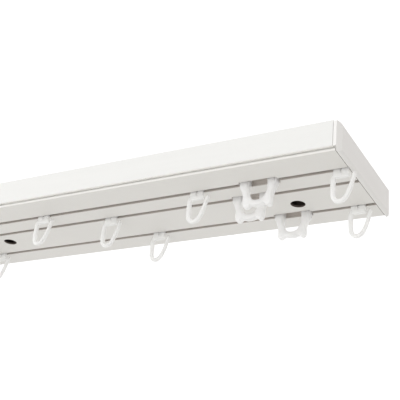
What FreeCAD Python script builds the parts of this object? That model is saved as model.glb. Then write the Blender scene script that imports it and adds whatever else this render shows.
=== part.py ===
import FreeCAD, Part
import math
import os

# Three-run ceiling curtain track with a clip-on fascia, end caps, gate clips and hook gliders.
# Millimetres. X runs along the track, -Y is the fascia side, +Z points up to the ceiling.
# The origin is the centre of the top face, which lies on the ceiling.

# Extruded profile
profile_length = 600.0
profile_depth = 93.9
profile_height = 22.0
wall = 1.6
web = 1.4
lip_edge_round = 0.5
back_edge_round = 1.2

# Runs: distance of each slot from the front of the profile
slot_from_front = {"front": 23.3, "middle": 41.0, "back": 74.5}
slot_width = 3.4
channel_width = 11.0
channel_height = 8.0

# Gate openings, where gliders are fed in: distance from the right end of the profile
gate_from_right = {"front": 61.0, "middle": 75.1, "back": 59.1}
gate_length = 27.0
gate_width = 8.0

# Screw holes: a narrow hole in the top wall under a wide one in the bottom wall for the driver
screw_count = 3
screw_from_end = 49.5
screw_row_from_front = 57.2
screw_stagger = 2.6
screw_hole_diameter = 4.5
access_hole_diameter = 10.2

# Fascia strip
fascia_thickness = 1.8
fascia_edge_round = 0.5
fascia_top_gap = 0.2
shadow_groove = 2.0
fascia_end_gap = 0.3

# Snap rails on the profile's front wall, gripped by pairs of hooks on the fascia
rail_from_edge = 4.2
rail_stem = 1.0
rail_head_height = 2.2
rail_head_thickness = 0.6
rail_head_gap = 0.3
hook_thickness = 0.8
hook_barb = 0.45
snap_clearance = 0.1

# End caps
cap_thickness = 2.5
cap_edge_round = 2.3
cap_bevel_depth = 3.5
cap_top_gap = 1.2
cap_overhang = 1.9
cap_return = 2.0
cap_plug_length = 9.0
cap_plug_height = 7.0
cap_plug_clearance = 0.15

# Gliders: distance of each seen glider's head from the right end of the profile, and how many follow them
glider_from_right = {"front": [5.3, 107.4, 239.8], "middle": [190.3], "back": [12.3, 168.7, 326.5]}
front_further_count = 2
middle_further_count = 2
back_further_count = 1
glider_head_length = 10.0
glider_head_thickness = 2.4
glider_head_corner = 1.2
glider_side_clearance = 0.8
glider_neck_clearance = 0.4
glider_ride_clearance = 0.2
glider_neck_length = 4.6
glider_overhang = 1.65
glider_bar_length = 12.8
glider_bar_height = 3.2
glider_bar_gap = 2.6
glider_shoulder_round = 3.0
glider_leg_width = 3.0
glider_leg_lean = 0.2
glider_drop = 23.0
glider_bottom_thickness = 2.4
glider_bottom_length = 8.8
glider_bottom_round = 4.4
glider_inner_round = 2.2
glider_bow_drop = 11.0
glider_bow_inset = 2.4
glider_bow_round = 14.0
glider_tip_thickness = 1.7
glider_tip_gap = 1.7
glider_tip_drop = 2.4
glider_edge_round = 0.55

# Gate clips
clip_fit = 0.15
clip_arm_width = 6.4
clip_catch_reach = 1.0
clip_catch_height = 1.4
clip_arm_length = 6.4
clip_arm_drop = 7.0
clip_step = 2.8
clip_spring_width = 4.4
clip_spring_thickness = 4.2
clip_bow_thickness = 3.0
clip_bow_drop = 13.8
clip_bow_round = 4.6
clip_drop = 17.6
clip_ear_length = 3.4
clip_ear_slope = 0.8
clip_ear_round = 1.0
clip_corner_round = 0.6
clip_waist_below_arm = 3.5
clip_waist_round = 1.5
clip_edge_round = 0.45

FRONT = -profile_depth / 2
BACK = profile_depth / 2
RIGHT = profile_length / 2
UNDERSIDE = -profile_height

hook_width = slot_width - 2 * glider_neck_clearance
rail_head_front = fascia_thickness + rail_head_gap
barb_front = rail_head_front + rail_head_thickness + snap_clearance
barb_back = barb_front + hook_barb
front_wall = barb_back + snap_clearance
further_counts = {"front": front_further_count, "middle": middle_further_count, "back": back_further_count}
fascia_bottom = wall + shadow_groove
fascia_top = profile_height - fascia_top_gap


def section_point(from_front, above_underside):
    """A point of the cross-section, in the plane of the profile's middle."""
    return FreeCAD.Vector(0, FRONT + from_front, UNDERSIDE + above_underside)


def hanging_point(along, below):
    """A point of a hanging piece's front view. Heights under the underside are negative."""
    return FreeCAD.Vector(along, 0, UNDERSIDE + below)


def plan_point(along, across):
    """A point of a piece's view from above, at the underside."""
    return FreeCAD.Vector(along, across, UNDERSIDE)


def rounded_face(corners, place):
    """A flat face from corners (a, b, radius), with a tangent arc at each corner that has a radius."""
    starts = []
    ends = []
    edges = []
    for index, (a, b, radius) in enumerate(corners):
        before = corners[index - 1]
        after = corners[(index + 1) % len(corners)]
        corner = FreeCAD.Vector(a, b, 0)
        towards_before = (FreeCAD.Vector(before[0], before[1], 0) - corner).normalize()
        towards_after = (FreeCAD.Vector(after[0], after[1], 0) - corner).normalize()
        half_angle = towards_before.getAngle(towards_after) / 2
        setback = radius / math.tan(half_angle)
        start = corner + towards_before * setback
        end = corner + towards_after * setback
        starts.append(place(start.x, start.y))
        ends.append(place(end.x, end.y))
        if radius > 0:
            inward = (towards_before + towards_after).normalize()
            middle = corner + inward * (radius / math.sin(half_angle) - radius)
            edges.append(Part.Arc(starts[-1], place(middle.x, middle.y), ends[-1]).toShape())
    for index, end in enumerate(ends):
        start = starts[(index + 1) % len(starts)]
        if end.distanceToPoint(start) > 1e-6:
            edges.append(Part.LineSegment(end, start).toShape())
    return Part.Face(Part.Wire(Part.__sortEdges__(edges)))


def rectangle(front, back, bottom, top):
    """A rectangle of the cross-section."""
    corners = [(front, bottom, 0), (back, bottom, 0), (back, top, 0), (front, top, 0)]
    return rounded_face(corners, section_point)


def along_track(face, length):
    """A section carried along the track, centred on its middle."""
    solid = face.extrude(FreeCAD.Vector(length, 0, 0))
    solid.translate(FreeCAD.Vector(-length / 2, 0, 0))
    return solid


def across_track(face, width):
    """A front view carried across the track, centred on its slot."""
    solid = face.extrude(FreeCAD.Vector(0, width, 0))
    solid.translate(FreeCAD.Vector(0, -width / 2, 0))
    return solid


def box(x0, x1, y0, y1, z0, z1):
    return Part.makeBox(x1 - x0, y1 - y0, z1 - z0, FreeCAD.Vector(x0, y0, z0))


def soften(solid, radius, wanted):
    """Round the edges whose centre passes the test."""
    edges = [edge for edge in solid.Edges if wanted(edge.CenterOfMass)]
    return solid.makeFillet(radius, edges)


def rail_heights():
    """Middle heights of the two snap rails, above the underside."""
    return [fascia_bottom + rail_from_edge, fascia_top - rail_from_edge]


def cell_walls():
    """Front and back of each closed cell beside the channels, from the front of the profile."""
    half = channel_width / 2 + web
    edges = [front_wall + wall]
    for distance in slot_from_front.values():
        edges += [distance - half, distance + half]
    edges.append(profile_depth - wall)
    return list(zip(edges[0::2], edges[1::2]))


def screw_places():
    """Middle of each screw hole. Neighbouring holes stand a little to either side of the row."""
    pitch = (profile_length - 2 * screw_from_end) / (screw_count - 1)
    places = []
    for index in range(screw_count):
        side = 1 if index % 2 == 0 else -1
        x = RIGHT - screw_from_end - index * pitch
        places.append((x, FRONT + screw_row_from_front + side * screw_stagger))
    return places


def make_track_profile():
    """Hollow extrusion: outline, snap rails, cells, channels and slots, then the cut openings."""
    outline = [
        (0, 0, lip_edge_round),
        (profile_depth, 0, back_edge_round),
        (profile_depth, profile_height, lip_edge_round),
        (fascia_thickness + snap_clearance, profile_height, 0),
        (fascia_thickness + snap_clearance, profile_height - wall, 0),
        (front_wall, profile_height - wall, 0),
        (front_wall, wall, 0),
        (0, wall, lip_edge_round),
    ]
    section = rounded_face(outline, section_point)
    rails = []
    for height in rail_heights():
        head_back = rail_head_front + rail_head_thickness
        rails.append(rectangle(head_back, front_wall, height - rail_stem / 2, height + rail_stem / 2))
        rails.append(rectangle(rail_head_front, head_back,
                               height - rail_head_height / 2, height + rail_head_height / 2))
    section = section.fuse(rails).removeSplitter()

    hollows = []
    for front, back in cell_walls():
        hollows.append(rectangle(front, back, wall, profile_height - wall))
    channel_roof = wall + channel_height
    for distance in slot_from_front.values():
        front = distance - channel_width / 2
        back = distance + channel_width / 2
        hollows.append(rectangle(front, back, wall, channel_roof))
        hollows.append(rectangle(front, back, channel_roof + web, profile_height - wall))
        hollows.append(rectangle(distance - slot_width / 2, distance + slot_width / 2, 0, wall))
    section = section.cut(hollows)
    profile = along_track(section.Faces[0], profile_length)

    cuts = []
    for run, distance in slot_from_front.items():
        gate_x = RIGHT - gate_from_right[run]
        slot_y = FRONT + distance
        cuts.append(box(gate_x - gate_length / 2, gate_x + gate_length / 2,
                        slot_y - gate_width / 2, slot_y + gate_width / 2,
                        UNDERSIDE, UNDERSIDE + wall))
    for x, y in screw_places():
        top_start = FreeCAD.Vector(x, y, -wall)
        bottom_start = FreeCAD.Vector(x, y, UNDERSIDE)
        cuts.append(Part.makeCylinder(screw_hole_diameter / 2, wall, top_start))
        cuts.append(Part.makeCylinder(access_hole_diameter / 2, wall, bottom_start))
    return profile.cut(cuts)


def make_fascia_strip():
    """Flat strip with a pair of barbed hooks behind it for each snap rail."""
    outline = [
        (0, fascia_bottom, fascia_edge_round),
        (fascia_thickness, fascia_bottom, 0),
        (fascia_thickness, fascia_top, 0),
        (0, fascia_top, fascia_edge_round),
    ]
    section = rounded_face(outline, section_point)
    hooks = []
    inner = rail_head_height / 2 + snap_clearance
    outer = inner + hook_thickness
    barb = rail_stem / 2 + snap_clearance
    for height in rail_heights():
        hooks.append(rectangle(fascia_thickness, barb_back, height + inner, height + outer))
        hooks.append(rectangle(fascia_thickness, barb_back, height - outer, height - inner))
        hooks.append(rectangle(barb_front, barb_back, height + barb, height + inner))
        hooks.append(rectangle(barb_front, barb_back, height - inner, height - barb))
    section = section.fuse(hooks).removeSplitter()
    return along_track(section.Faces[0], profile_length - 2 * (cap_return + fascia_end_gap))


def make_end_cap():
    """Cap for the right end: a plate with a bevelled front and rounded edges, a return and plugs."""
    outside = RIGHT + cap_thickness
    bevel_end = FRONT + cap_bevel_depth
    back = BACK + cap_overhang
    plan = [(RIGHT, FRONT, 0), (outside, bevel_end, 0), (outside, back, 0), (RIGHT, back, 0)]
    plate = rounded_face(plan, plan_point).extrude(FreeCAD.Vector(0, 0, profile_height - cap_top_gap))
    plate = soften(plate, cap_edge_round,
                   lambda centre: abs(centre.x - outside) < 1e-6 and centre.y > bevel_end + 1e-6)
    pieces = [box(RIGHT - cap_return, RIGHT, FRONT, FRONT + fascia_thickness,
                  UNDERSIDE + fascia_bottom, -cap_top_gap)]
    plug_middle = UNDERSIDE + profile_height / 2
    for cell_front, cell_back in cell_walls():
        pieces.append(box(RIGHT - cap_plug_length, RIGHT,
                          FRONT + cell_front + cap_plug_clearance, FRONT + cell_back - cap_plug_clearance,
                          plug_middle - cap_plug_height / 2, plug_middle + cap_plug_height / 2))
    return plate.fuse(pieces).removeSplitter()


def make_glider():
    """Hook glider at the middle of the track: head, two necks, a bar and an open loop."""
    head_half = glider_head_length / 2
    left = -head_half - glider_overhang
    bar_right = left + glider_bar_length
    bar_top = -glider_bar_gap
    bar_bottom = bar_top - glider_bar_height
    tip_inner = bar_right + glider_tip_gap
    tip_outer = tip_inner + glider_tip_thickness
    bow_outer = tip_outer - glider_bow_inset
    bow_inner = bow_outer - glider_tip_thickness
    bottom_left = left + glider_leg_lean
    bottom_right = bottom_left + glider_bottom_length
    inner_left = bottom_left + glider_leg_width
    inner_right = bottom_right - glider_tip_thickness / 2
    inner_bottom = -glider_drop + glider_bottom_thickness
    outer_round = min(glider_bottom_round, glider_bottom_length * 0.55)
    inner_round = min(glider_inner_round, (inner_right - inner_left) / 2)
    tip_round = min(glider_edge_round, glider_tip_thickness / 3)
    loop = [
        (left, bar_top, glider_shoulder_round),
        (bottom_left, -glider_drop, outer_round),
        (bottom_right, -glider_drop, outer_round),
        (bow_outer, -glider_bow_drop, glider_bow_round),
        (tip_outer, -glider_tip_drop, tip_round),
        (tip_inner, -glider_tip_drop, tip_round),
        (bow_inner, -glider_bow_drop, glider_bow_round - glider_tip_thickness),
        (inner_right, inner_bottom, inner_round),
        (inner_left, inner_bottom, inner_round),
        (left + glider_leg_width, bar_bottom, glider_edge_round),
        (bar_right, bar_bottom, glider_edge_round),
        (bar_right, bar_top, glider_edge_round),
    ]
    hook = across_track(rounded_face(loop, hanging_point), hook_width)
    flat_side = hook_width / 2
    hook = soften(hook, glider_edge_round, lambda centre: abs(abs(centre.y) - flat_side) < 1e-6)

    head_bottom = wall + glider_ride_clearance
    head_side = channel_width / 2 - glider_side_clearance
    head_corners = [(-head_half, -head_side, glider_head_corner), (head_half, -head_side, glider_head_corner),
                    (head_half, head_side, glider_head_corner), (-head_half, head_side, glider_head_corner)]
    head = rounded_face(head_corners, plan_point).extrude(FreeCAD.Vector(0, 0, glider_head_thickness))
    head.translate(FreeCAD.Vector(0, 0, head_bottom))
    pieces = [head]
    neck_start = bar_top - 2 * glider_edge_round
    for side in (-1, 1):
        middle = side * (head_half - glider_neck_length / 2)
        pieces.append(box(middle - glider_neck_length / 2, middle + glider_neck_length / 2,
                          -hook_width / 2, hook_width / 2,
                          UNDERSIDE + neck_start, UNDERSIDE + head_bottom))
    return hook.fuse(pieces).removeSplitter()


def make_gate_clip():
    """Spring clip at the middle of the track: two arms caught in the gate, and a bow with ears."""
    outer = gate_length / 2 - clip_fit
    inner = outer - clip_arm_length
    catch_bottom = wall + clip_fit
    arm_top = catch_bottom + clip_catch_height
    arm_bottom = -clip_arm_drop
    arm_lean = clip_step / 4
    waist = outer - clip_step
    spring_inner = waist - clip_spring_thickness
    bow_bottom = -clip_bow_drop - clip_bow_thickness
    ear_inner = waist - clip_ear_length
    bow_round = min(clip_bow_round, spring_inner - arm_lean)
    right_half = [
        (ear_inner - clip_ear_slope, bow_bottom, clip_corner_round),
        (ear_inner, -clip_drop, clip_corner_round),
        (waist - clip_ear_slope, -clip_drop, clip_ear_round),
        (waist, -clip_bow_drop, clip_ear_round),
        (waist - clip_step / 2, arm_bottom - clip_waist_below_arm, clip_waist_round),
        (waist - arm_lean, arm_bottom - clip_step / 2, clip_corner_round),
        (outer - arm_lean, arm_bottom, clip_corner_round),
        (outer, arm_top, 0),
        (inner, arm_top, 0),
        (spring_inner, arm_bottom, clip_waist_round),
        (spring_inner - arm_lean, -clip_bow_drop, bow_round),
    ]
    left_half = [(-x, z, radius) for x, z, radius in reversed(right_half)]
    spring = across_track(rounded_face(right_half + left_half, hanging_point), clip_spring_width)
    flat_side = clip_spring_width / 2
    spring = soften(spring, clip_edge_round, lambda centre: abs(abs(centre.y) - flat_side) < 1e-6)
    arms = []
    for side in (-1, 1):
        outline = [
            (inner, arm_top, 0),
            (outer, arm_top, 0),
            (outer + clip_catch_reach, catch_bottom, 0),
            (outer, catch_bottom, 0),
            (outer - arm_lean, arm_bottom + clip_edge_round, 0),
            (inner + arm_lean, arm_bottom + clip_edge_round, 0),
        ]
        arm = rounded_face([(side * x, z, radius) for x, z, radius in outline], hanging_point)
        arms.append(across_track(arm, clip_arm_width))
    return spring.fuse(arms).removeSplitter()


def glider_places(run):
    """Distance of each head from the right end: the seen ones, then the rest evenly spread."""
    places = list(glider_from_right[run])
    further_count = further_counts[run]
    step = (profile_length - places[-1]) / (further_count + 1)
    for index in range(further_count):
        places.append(places[-1] + step)
    return places


def moved(solid, from_right, from_front):
    copy = solid.copy()
    copy.translate(FreeCAD.Vector(RIGHT - from_right, FRONT + from_front, 0))
    return copy


nodes = {"track_profile": make_track_profile(), "fascia_strip": make_fascia_strip()}
right_cap = make_end_cap()
nodes["end_cap_right"] = right_cap
nodes["end_cap_left"] = right_cap.mirror(FreeCAD.Vector(0, 0, 0), FreeCAD.Vector(1, 0, 0))
clip = make_gate_clip()
glider = make_glider()
for run, distance in slot_from_front.items():
    nodes["gate_clip_" + run] = moved(clip, gate_from_right[run], distance)
    for number, from_right in enumerate(glider_places(run), start=1):
        nodes["glider_%s_%d" % (run, number)] = moved(glider, from_right, distance)

os.makedirs("parts", exist_ok=True)
for name, shape in nodes.items():
    shape.exportStep("parts/" + name + ".step")
    print(name, len(shape.Solids), "solid", shape.isValid(), round(shape.Volume, 1), "mm3")
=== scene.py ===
import bpy
import mathutils
import numpy as np
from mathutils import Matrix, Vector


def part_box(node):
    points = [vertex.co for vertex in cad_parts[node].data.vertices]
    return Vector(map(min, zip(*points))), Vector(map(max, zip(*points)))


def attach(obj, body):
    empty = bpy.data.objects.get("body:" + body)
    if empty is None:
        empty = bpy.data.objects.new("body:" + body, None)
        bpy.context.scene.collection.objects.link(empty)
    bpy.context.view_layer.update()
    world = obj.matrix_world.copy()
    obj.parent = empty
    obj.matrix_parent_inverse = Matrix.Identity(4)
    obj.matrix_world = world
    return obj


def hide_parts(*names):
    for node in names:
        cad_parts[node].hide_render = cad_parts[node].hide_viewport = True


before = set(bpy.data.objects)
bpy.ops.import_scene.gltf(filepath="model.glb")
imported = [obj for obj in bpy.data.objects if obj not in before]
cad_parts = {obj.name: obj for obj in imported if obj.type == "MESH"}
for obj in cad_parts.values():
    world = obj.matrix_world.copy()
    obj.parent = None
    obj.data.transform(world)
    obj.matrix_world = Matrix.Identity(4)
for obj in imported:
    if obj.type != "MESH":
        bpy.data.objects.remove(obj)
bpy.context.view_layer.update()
MM = 0.001

# Track profile
# The long hollow body of the track: extruded white PVC, with slots, gates and screw holes cut after it.
# It stays the solid it is. The die leaves faint straight lines along it. Light and shade are painted into its
# colour: the walls inside are whiter than the outer faces as painted light, and so is the shadow groove under
# the fascia; the cut faces through the bottom wall are greyer as painted shade, the cell that the screws pass
# through is nearly black as painted shade, and a painted shadow runs along the joints with the end caps.
profile_low, profile_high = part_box("track_profile")
underside = profile_low[2]
front = profile_low[1]
back = profile_high[1]
right_end = profile_high[0]
profile_wall = 1.6 * MM
shadow_groove = 2.0 * MM
groove_reach = 5 * MM
groove_overlap = 2 * MM
slot_places = {"front": 23.3 * MM, "middle": 41.0 * MM, "back": 74.5 * MM}
screw_cell = (47.9 * MM, 67.6 * MM)
front_depth = 6 * MM
back_depth = 1 * MM
joint_line = 0.35 * MM
joint_top = 2.0 * MM
mask_margin = 0.1 * MM
cut_margin = 0.05 * MM
die_line_spacing = 1.1 * MM
die_line_length = 160 * MM
cloud_size = 70 * MM
pvc_roughness = (0.38, 0.52)
pvc_relief = (0.12, 0.1 * MM)
pvc_ior = 1.53
pvc_white = "#EBE9E6"
pvc_shade = "#E6E4E0"
inside_painted_light = "#FCF6F1"
cut_painted_shade = "#D1CAC4"
screw_cell_painted_shade = "#675C56"
joint_painted_shadow = "#736D68"
groove_painted_light = "#FFFEFB"


def linear(code):
    """sRGB hex to the linear colour that shaders take."""
    channels = np.array([int(code[i:i + 2], 16) for i in (1, 3, 5)]) / 255
    low = channels / 12.92
    high = ((channels + 0.055) / 1.055) ** 2.4
    return (*np.where(channels <= 0.04045, low, high), 1.0)


def add(tree, kind, inputs=None, **settings):
    """Add a shader node. Settings are its own properties; inputs are values or links by socket."""
    made = tree.nodes.new(kind)
    for key, value in settings.items():
        setattr(made, key, value)
    for key, value in (inputs or {}).items():
        if isinstance(value, bpy.types.NodeSocket):
            tree.links.new(value, made.inputs[key])
        else:
            made.inputs[key].default_value = value
    return made


def empty_material(name):
    """A new material and its node tree, with no nodes in it yet."""
    material = bpy.data.materials.new(name)
    material.use_nodes = True
    material.node_tree.nodes.clear()
    return material, material.node_tree


def mixed(tree, factor, a, b):
    """The colour a where the factor is 0, b where it is 1."""
    mix = add(tree, "ShaderNodeMix", {"Factor": factor}, data_type="RGBA")
    for socket, colour in ((mix.inputs[6], a), (mix.inputs[7], b)):
        if isinstance(colour, str):
            socket.default_value = linear(colour)
        else:
            tree.links.new(colour, socket)
    return mix.outputs[2]


def within(tree, value, low, high):
    """1 where the value lies between low and high, otherwise 0."""
    middle = (low + high) / 2
    inputs = {0: value, 1: middle, 2: high - middle}
    return add(tree, "ShaderNodeMath", inputs, operation="COMPARE").outputs[0]


def both(tree, a, b):
    """1 where both masks are 1."""
    return add(tree, "ShaderNodeMath", {0: a, 1: b}, operation="MULTIPLY").outputs[0]


def plastic(tree, colour, pattern, roughness, relief, ior, depth=None):
    """End a material as plastic. The pattern moves its roughness through a range and stands out a little.

    Relief is the strength and height of that. Depth holds the subsurface inputs of a milky plastic.
    """
    rough = add(tree, "ShaderNodeMapRange", {"Value": pattern, "To Min": roughness[0], "To Max": roughness[1]})
    bump = add(tree, "ShaderNodeBump", {"Height": pattern, "Strength": relief[0], "Distance": relief[1]})
    skin = add(tree, "ShaderNodeBsdfPrincipled", {
        "Base Color": colour, "Roughness": rough.outputs[0], "Normal": bump.outputs[0], "IOR": ior,
        **(depth or {})})
    add(tree, "ShaderNodeOutputMaterial", {"Surface": skin.outputs[0]})


def wear(piece, material):
    """Give a piece one material in place of what it has."""
    piece.data.materials.clear()
    piece.data.materials.append(material)


# Extruded PVC: satin, with long straight die lines that catch the light and a slow cloudiness of tone.
pvc, tree = empty_material("extruded_pvc_satin")
place = add(tree, "ShaderNodeTexCoord").outputs["Object"]
stretch = (1 / die_line_length, 1 / die_line_spacing, 1 / die_line_spacing)
along = add(tree, "ShaderNodeMapping", {"Vector": place, "Scale": stretch})
lines = add(tree, "ShaderNodeTexNoise", {"Vector": along.outputs[0], "Scale": 1.0, "Detail": 2.0})
cloud = add(tree, "ShaderNodeTexNoise", {"Vector": place, "Scale": 1 / cloud_size, "Detail": 3.0})
axes = add(tree, "ShaderNodeSeparateXYZ", {0: place})
from_middle = add(tree, "ShaderNodeMath", {0: axes.outputs[0]}, operation="ABSOLUTE").outputs[0]
across = axes.outputs[1]
level = axes.outputs[2]
at_end = within(tree, from_middle, right_end - joint_line, right_end + joint_line)
below_top = within(tree, level, underside - joint_line, -joint_top)
between_ends = within(tree, from_middle, -right_end, right_end - mask_margin)
between_faces = within(tree, level, underside + mask_margin, -mask_margin)
behind_wall = both(tree, between_ends, between_faces)
cut_edge = within(tree, level, underside + mask_margin, underside + profile_wall - cut_margin)
behind_front = within(tree, across, front + front_depth, back - back_depth)
behind_screw_wall = within(tree, across, front + screw_cell[0] - mask_margin,
                           front + screw_cell[1] + mask_margin)
groove_level = within(tree, level, underside + profile_wall - cut_margin,
                      underside + profile_wall + shadow_groove + groove_overlap)
groove_depth = within(tree, across, front + mask_margin, front + groove_reach)
colour = mixed(tree, cloud.outputs[0], pvc_white, pvc_shade)
# Painted light: the walls inside, behind the front, are coloured whiter than the outer faces.
colour = mixed(tree, both(tree, behind_wall, behind_front), colour, inside_painted_light)
# Painted shade on the cut faces through the bottom wall: the walls of the slots, gates and holes.
colour = mixed(tree, both(tree, cut_edge, behind_front), colour, cut_painted_shade)
# Painted shade: the inner faces of the cell that the screws pass through are coloured nearly black.
colour = mixed(tree, both(tree, behind_wall, behind_screw_wall), colour, screw_cell_painted_shade)
# Painted light in the shadow groove under the fascia: its walls are coloured near white.
colour = mixed(tree, both(tree, groove_level, groove_depth), colour, groove_painted_light)
# Painted shadow along the joints with the end caps: a dark band at either end, below the top.
colour = mixed(tree, both(tree, at_end, below_top), colour, joint_painted_shadow)
plastic(tree, colour, lines.outputs[0], pvc_roughness, pvc_relief, pvc_ior)
wear(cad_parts["track_profile"], pvc)

# Fascia strip
# The bright strip that clips on to the front: the same PVC, extruded through a polished die. It is smoother
# than the profile, with only a slow waviness along it, and a little whiter, partly as painted light on its
# front.
# Its back and lower edge take the groove's painted light.
fascia_wave = (90 * MM, 6 * MM, 6 * MM)
fascia_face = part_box("fascia_strip")[0][1]
fascia_skin = 0.2 * MM
fascia_reach = 10 * MM
fascia_roughness = (0.26, 0.36)
fascia_relief = (0.08, 0.2 * MM)
# A little whiter than the profile, partly as painted light on the strip's front face.
fascia_white = "#ECECEA"
fascia_shade = "#E7E7E5"
polished, tree = empty_material("extruded_pvc_polished")
place = add(tree, "ShaderNodeTexCoord").outputs["Object"]
along = add(tree, "ShaderNodeMapping", {"Vector": place, "Scale": [1 / length for length in fascia_wave]})
wave = add(tree, "ShaderNodeTexNoise", {"Vector": along.outputs[0], "Scale": 1.0, "Detail": 2.0})
across = add(tree, "ShaderNodeSeparateXYZ", {0: place}).outputs[1]
behind_face = within(tree, across, fascia_face + fascia_skin, fascia_face + fascia_reach)
colour = mixed(tree, wave.outputs[0], fascia_white, fascia_shade)
# Painted light: the strip's back and lower edge, behind its front skin, take the groove's near white.
colour = mixed(tree, behind_face, colour, groove_painted_light)
plastic(tree, colour, wave.outputs[0], fascia_roughness, fascia_relief, pvc_ior)
wear(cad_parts["fascia_strip"], polished)

# End caps
# Injection-moulded ABS plates, bevelled at the front and rounded at the other edges, pressed into the
# profile's cells. The tool is spark-eroded, which leaves a fine even grain over the whole plate.
grain_size = 0.6 * MM
cap_cloud = 40 * MM
abs_roughness = (0.42, 0.6)
abs_relief = (0.15, 0.05 * MM)
abs_ior = 1.54
abs_white = "#F2F1EF"
abs_shade = "#EFEDEB"
grained, tree = empty_material("moulded_abs_grained")
place = add(tree, "ShaderNodeTexCoord").outputs["Object"]
grain = add(tree, "ShaderNodeTexNoise", {"Vector": place, "Scale": 1 / grain_size, "Detail": 2.0})
cloud = add(tree, "ShaderNodeTexNoise", {"Vector": place, "Scale": 1 / cap_cloud, "Detail": 2.0})
colour = mixed(tree, cloud.outputs[0], abs_white, abs_shade)
plastic(tree, colour, grain.outputs[0], abs_roughness, abs_relief, abs_ior)
for side in ("right", "left"):
    wear(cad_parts["end_cap_" + side], grained)

# Gliders
# Twelve milky nylon hooks, each moulded in one: a flat head that slides in the channel, two necks through
# the slot, a bar, and a springy loop whose tip stands just clear of the bar so that a heading ring slips in.
# Sizes are in millimetres. Each corner of the hook's line is (x, z, half thickness).
hook_width = 2.6
hook_blur = 1.7
hook_spacing = 0.25
hook_line = [
    (6.15, -4.3, 1.55), (-5.15, -4.3, 1.55), (-4.8, -18.0, 1.5), (-4.0, -20.6, 1.45), (-2.2, -22.0, 1.4),
    (-0.1, -22.2, 1.35), (1.9, -21.4, 1.3), (3.6, -19.4, 1.25), (5.2, -16.2, 1.2), (6.5, -12.6, 1.15),
    (7.5, -9.0, 1.1), (8.4, -5.4, 1.0), (8.85, -3.0, 0.95)]
hook_squareness = 4
hook_rows = 90
hook_sides = 36
hook_end_rows = 8
hook_end_angle = 0.12
hook_left = 6.65
head_size = (10.0, 9.4, 2.4)
head_bottom = 1.8
pad_plan_squareness = 6
pad_side_squareness = 5
pad_rows = 16
pad_sides = 48
pad_end_angle = 0.05
neck_size = (4.85, 2.4)
neck_offset = 2.6
neck_low = -3.6
neck_in_bar = 0.6
neck_into_head = 0.4
neck_flare = 0.3
neck_flare_height = 0.6
neck_squareness = 4
neck_rows = 14
neck_sides = 24
crease = np.radians(50)
nylon_white = "#EFEFED"
nylon_shade = "#E9E9E6"
nylon_depth = (20 * MM, 20 * MM, 19 * MM)
nylon_milkiness = 0.8
flow_size = 9 * MM
flow_distortion = 0.8
milky_roughness = (0.28, 0.42)
milky_relief = (0.1, 0.1 * MM)
milky_ior = 1.53


def flowing_line(corners, spacing, blur):
    """A line of corners walked in equal steps p_i, then softened: q_i = sum_j w_j p_(i+j).

    The weights are w_j ~ exp(-(j s / b)^2 / 2), with the spacing s and the blur b. The line is carried on
    straight past both ends first, so that it keeps them.
    """
    reach = int(np.ceil(3 * blur / spacing))
    points = np.array(corners, float)
    first = (points[0] - points[1]) / np.linalg.norm((points[0] - points[1])[:2])
    last = (points[-1] - points[-2]) / np.linalg.norm((points[-1] - points[-2])[:2])
    first[2:] = last[2:] = 0
    points = np.vstack([points[0] + first * reach * spacing, points, points[-1] + last * reach * spacing])
    distance = np.concatenate([[0], np.cumsum(np.linalg.norm(np.diff(points, axis=0), axis=1))])
    steps = np.linspace(0, distance[-1], int(round(distance[-1] / spacing)) + 1)
    walked = np.stack([np.interp(steps, distance, column) for column in points.T], axis=1)
    weights = np.exp(-(np.arange(-reach, reach + 1) * spacing / blur) ** 2 / 2)
    weights /= weights.sum()
    return np.stack([np.convolve(column, weights, mode="valid") for column in walked.T], axis=1)


def round_power(angle, squareness):
    """Cosine and sine of a superellipse: sign(c) |c|^(2 / n), nearer a rounded rectangle as n grows."""
    c, s = np.cos(angle), np.sin(angle)
    return np.sign(c) * np.abs(c) ** (2 / squareness), np.sign(s) * np.abs(s) ** (2 / squareness)


def round_section(sides, squareness):
    """The pairs (c, s) of round_power at equal angles all the way round."""
    return round_power(np.linspace(0, 2 * np.pi, sides, endpoint=False), squareness)


def skin_over(rings):
    """Corners and faces of a closed skin over rings of shape (rows, sides, 3), flat at either end."""
    rows, sides = rings.shape[:2]
    here = np.arange((rows - 1) * sides).reshape(rows - 1, sides)
    beside = np.roll(here, -1, axis=1)
    quads = np.stack([here, beside, beside + sides, here + sides], axis=-1).reshape(-1, 4)
    ends = [list(range(sides))[::-1], list(range((rows - 1) * sides, rows * sides))]
    return rings.reshape(-1, 3), quads.tolist() + ends


def fused(skins):
    """One closed skin round several that overlap: their union, so that light inside meets no wall."""
    solids = []
    for corners, faces in skins:
        mesh = bpy.data.meshes.new("skin")
        mesh.from_pydata(corners.tolist(), [], faces)
        solids.append(bpy.data.objects.new("skin", mesh))
        bpy.context.collection.objects.link(solids[-1])
    for other in solids[1:]:
        union = solids[0].modifiers.new("union", "BOOLEAN")
        union.operation = "UNION"
        union.object = other
    joined = solids[0].evaluated_get(bpy.context.evaluated_depsgraph_get())
    whole = bpy.data.meshes.new_from_object(joined)
    corners = np.empty(len(whole.vertices) * 3, np.float32)
    whole.vertices.foreach_get("co", corners)
    faces = [list(face.vertices) for face in whole.polygons]
    for mesh in [solid.data for solid in solids]:
        bpy.data.meshes.remove(mesh)
    bpy.data.meshes.remove(whole)
    return corners.reshape(-1, 3), faces


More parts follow.
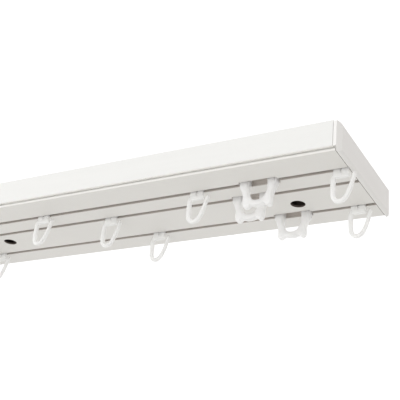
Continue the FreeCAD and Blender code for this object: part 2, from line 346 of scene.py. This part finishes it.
def swept_hook():
    """Rings along the hook's middle line: half thickness a in the loop's plane, half width b across it.

    Near either end both shrink by sqrt(1 - (1 - d / a)^2), d being the distance to the end, which rounds it.
    """
    line = flowing_line(hook_line, hook_spacing, hook_blur)
    path = np.concatenate([[0], np.cumsum(np.linalg.norm(np.diff(line[:, :2], axis=0), axis=1))])
    ends = 1 - np.cos(np.linspace(hook_end_angle, np.pi / 2, hook_end_rows))
    between = np.linspace(line[0, 2], path[-1] - line[-1, 2], hook_rows)[1:-1]
    steps = np.concatenate([ends * line[0, 2], between, path[-1] - ends[::-1] * line[-1, 2]])
    x, z, half = (np.interp(steps, path, column) for column in line.T)
    direction = np.stack([np.gradient(x, steps), np.gradient(z, steps)], axis=1)
    direction /= np.linalg.norm(direction, axis=1, keepdims=True)
    to_end = np.minimum(steps, path[-1] - steps)
    shrink = np.sqrt(1 - np.clip(1 - to_end / half, 0, 1) ** 2)
    c, s = round_section(hook_sides, hook_squareness)
    out = (half * shrink)[:, None] * c
    sideways = (hook_width / 2 * shrink)[:, None] * s
    return np.stack([x[:, None] + direction[:, 1:] * out, sideways,
                     z[:, None] - direction[:, :1] * out], axis=-1)


def pad_rings(size, bottom):
    """A flat pad of size (l, w, h): rings (r c l / 2, r s w / 2) at height bottom + h (1 + k) / 2.

    The pair (c, s) runs round a superellipse in plan, and (r, k) up the half of one that is the pad's side.
    """
    angle = np.linspace(-np.pi / 2 + pad_end_angle, np.pi / 2 - pad_end_angle, pad_rows)
    reach, height = round_power(angle, pad_side_squareness)
    c, s = round_section(pad_sides, pad_plan_squareness)
    z = bottom + size[2] / 2 * (1 + height)
    return np.stack([reach[:, None] * c * size[0] / 2, reach[:, None] * s * size[1] / 2,
                     np.repeat(z[:, None], len(c), axis=1)], axis=-1)


def neck_rings(offset):
    """An upright post of superellipse rings, longer by f exp(-h / g) at height h over the bar, as a fillet.

    Here f is neck_flare and g is neck_flare_height.
    """
    z = np.linspace(neck_low, head_bottom + neck_into_head, neck_rows)
    c, s = round_section(neck_sides, neck_squareness)
    over_bar = np.clip(z - neck_low - neck_in_bar, 0, None)
    flare = neck_flare * np.exp(-over_bar / neck_flare_height)
    x = offset + (neck_size[0] / 2 + flare)[:, None] * c
    return np.stack([x, np.repeat(neck_size[1] / 2 * s[None], len(z), axis=0),
                     np.repeat(z[:, None], len(c), axis=1)], axis=-1)


def moulded(name, corners, faces, x, y):
    """A smooth-shaded piece from millimetre corners about its place in the track, at the underside."""
    mesh = bpy.data.meshes.new(name)
    mesh.from_pydata((corners * MM + (x, y, underside)).tolist(), [], faces)
    mesh.shade_smooth()
    mesh.set_sharp_from_angle(angle=crease)
    piece = bpy.data.objects.new(name, mesh)
    bpy.context.collection.objects.link(piece)
    return piece


def milky_plastic(name, white, shade, milkiness, depth):
    """A moulded plastic that light enters by the given depth, with slow flow marks across its satin."""
    material, tree = empty_material(name)
    place = add(tree, "ShaderNodeTexCoord").outputs["Object"]
    flow = add(tree, "ShaderNodeTexNoise", {
        "Vector": place, "Scale": 1 / flow_size, "Detail": 3.0, "Distortion": flow_distortion})
    colour = mixed(tree, flow.outputs[0], white, shade)
    inner = {"Subsurface Weight": milkiness, "Subsurface Radius": depth, "Subsurface Scale": 1.0}
    plastic(tree, colour, flow.outputs[0], milky_roughness, milky_relief, milky_ior, inner)
    return material


nylon = milky_plastic("moulded_nylon_milky", nylon_white, nylon_shade, nylon_milkiness, nylon_depth)
glider_skins = [skin_over(swept_hook()), skin_over(pad_rings(head_size, head_bottom)),
                skin_over(neck_rings(-neck_offset)), skin_over(neck_rings(neck_offset))]
glider_corners, glider_faces = fused(glider_skins)
for node in sorted(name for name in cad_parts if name.startswith("glider_")):
    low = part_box(node)[0]
    run = node.split("_")[1]
    glider = moulded("hook_" + node, glider_corners, glider_faces,
                     low[0] + hook_left * MM, front + slot_places[run])
    wear(glider, nylon)
    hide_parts(node)
    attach(glider, node)

# Gate clips
# Three spring clips moulded from polypropylene, milkier than the hooks, which close the gates for feeding in
# gliders. Two arms stand in each gate, caught over its ends, and a bow with an ear at each side hangs between.
# Sizes are in millimetres. Each corner of the half band is (inner x, inner z, outer x, outer z).
arm_width = 6.4
bow_width = 5.0
taper_start = -2.0
taper_end = -8.0
band_half = [
    (6.2, 3.15, 13.3, 3.15), (6.6, -0.5, 13.25, -0.5), (6.9, -3.2, 13.0, -2.9), (6.9, -5.5, 11.9, -5.2),
    (6.5, -7.6, 10.9, -7.8), (5.7, -9.5, 10.2, -10.6), (4.7, -11.0, 10.3, -13.8), (4.1, -11.7, 10.1, -16.4),
    (3.7, -12.1, 9.0, -18.0), (3.4, -12.4, 7.2, -18.0), (2.9, -12.7, 5.4, -16.1), (2.1, -13.0, 4.2, -16.3),
    (1.2, -13.2, 2.4, -17.0), (0, -13.3, 0, -17.1)]
band_blur = 0.65
band_spacing = 0.2
band_squareness = 5
band_sides = 40
catch_size = (2.4, 6.0, 1.3)
catch_offset = 13.1
catch_bottom = 1.8
clip_white = "#FFFFFE"
clip_shade = "#FBFBFA"
clip_depth = (30 * MM, 30 * MM, 29 * MM)
clip_milkiness = 0.95


def band_rings():
    """Rings of the band between its inner line p and outer line q: (p + q) / 2 + c (q - p) / 2, y = s w / 2.

    The pair (c, s) runs round a superellipse. From taper_start down to taper_end the width w eases from the
    arms' to the bow's, by t^2 (3 - 2 t).
    """
    half = np.array(band_half)
    whole = np.vstack([half, half[-2::-1] * (-1, 1, -1, 1)])
    line = flowing_line(whole, band_spacing, band_blur)
    inner, outer = line[:, None, :2], line[:, None, 2:]
    c, s = round_section(band_sides, band_squareness)
    x, z = np.moveaxis((inner + outer) / 2 + c[None, :, None] * (outer - inner) / 2, -1, 0)
    t = np.clip((taper_start - z) / (taper_start - taper_end), 0, 1)
    width = arm_width - (arm_width - bow_width) * t ** 2 * (3 - 2 * t)
    return np.stack([x, s * width / 2, z], axis=-1)


polypropylene = milky_plastic("moulded_polypropylene_milky", clip_white, clip_shade,
                              clip_milkiness, clip_depth)
clip_skins = [skin_over(band_rings())]
for side in (-1, 1):
    clip_skins.append(skin_over(pad_rings(catch_size, catch_bottom) + (side * catch_offset, 0, 0)))
clip_corners, clip_faces = fused(clip_skins)
for run, from_front in slot_places.items():
    low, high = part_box("gate_clip_" + run)
    clip = moulded("spring_gate_clip_" + run, clip_corners, clip_faces,
                   (low[0] + high[0]) / 2, front + from_front)
    wear(clip, polypropylene)
    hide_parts("gate_clip_" + run)
    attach(clip, "track")

# Floor
# A plain pale floor a room's height below the ceiling.
floor_half = 6.0
floor_height = -2.2
floor_roughness = 0.8
floor_pale = "#DEDEDC"
floor_mesh = bpy.data.meshes.new("floor")
floor_mesh.from_pydata([(-floor_half, -floor_half, floor_height), (floor_half, -floor_half, floor_height),
                        (floor_half, floor_half, floor_height), (-floor_half, floor_half, floor_height)],
                       [], [(0, 1, 2, 3)])
floor = bpy.data.objects.new("floor", floor_mesh)
bpy.context.collection.objects.link(floor)
pale, tree = empty_material("pale_floor")
skin = add(tree, "ShaderNodeBsdfPrincipled", {"Base Color": linear(floor_pale), "Roughness": floor_roughness})
add(tree, "ShaderNodeOutputMaterial", {"Surface": skin.outputs[0]})
wear(floor, pale)

# Light
# A white surround, dimmer and a little warmer towards the right end, and one large soft light from the
# left front.
surround_strength = 1.17
side_strength = 0.57
surround_white = "#FFFFFF"
side_tint = "#FFFBF8"
light_place = (-0.9, -2.2, -0.3)
light_target = (0.1, 0, 0)
light_size = 1.6
light_power = 9
world = bpy.data.worlds.new("studio")
bpy.context.scene.world = world
world.use_nodes = True
tree = world.node_tree
towards = add(tree, "ShaderNodeTexCoord").outputs["Generated"]
axes = add(tree, "ShaderNodeSeparateXYZ", {0: towards})
dimming = add(tree, "ShaderNodeMapRange", {
    "Value": axes.outputs[0], "To Min": surround_strength, "To Max": side_strength})
tree.links.new(dimming.outputs[0], tree.nodes["Background"].inputs["Strength"])
tint = mixed(tree, axes.outputs[0], surround_white, side_tint)
tree.links.new(tint, tree.nodes["Background"].inputs["Color"])
bpy.context.scene.view_settings.view_transform = "Standard"
light = bpy.data.lights.new("front_light", "AREA")
light.size = light_size
light.energy = light_power
lamp = bpy.data.objects.new("front_light", light)
lamp.location = light_place
aim = mathutils.Vector(light_target) - mathutils.Vector(light_place)
lamp.rotation_euler = aim.to_track_quat("-Z", "Y").to_euler()
bpy.context.collection.objects.link(lamp)

# Camera
# Below, in front and to the right of the right end, as in the photograph, with a little roll.
camera_place = (0.45816, -0.44602, -0.27028)
camera_right = (0.86981, 0.48289, 0.10128)
camera_down = (-0.13405, 0.42883, -0.89338)
camera_forward = (-0.47483, 0.76350, 0.43773)
focal_pixels = 826.4
frame_pixels = 400
camera_data = bpy.data.cameras.new("camera")
camera_data.sensor_width = 36.0
camera_data.lens = focal_pixels / frame_pixels * camera_data.sensor_width
camera_data.clip_start = 0.01
camera = bpy.data.objects.new("camera", camera_data)
camera_up = [-v for v in camera_down]
camera_backward = [-v for v in camera_forward]
turn = mathutils.Matrix((camera_right, camera_up, camera_backward)).transposed()
camera.matrix_world = mathutils.Matrix.Translation(camera_place) @ turn.to_4x4()
bpy.context.collection.objects.link(camera)
bpy.context.scene.camera = camera
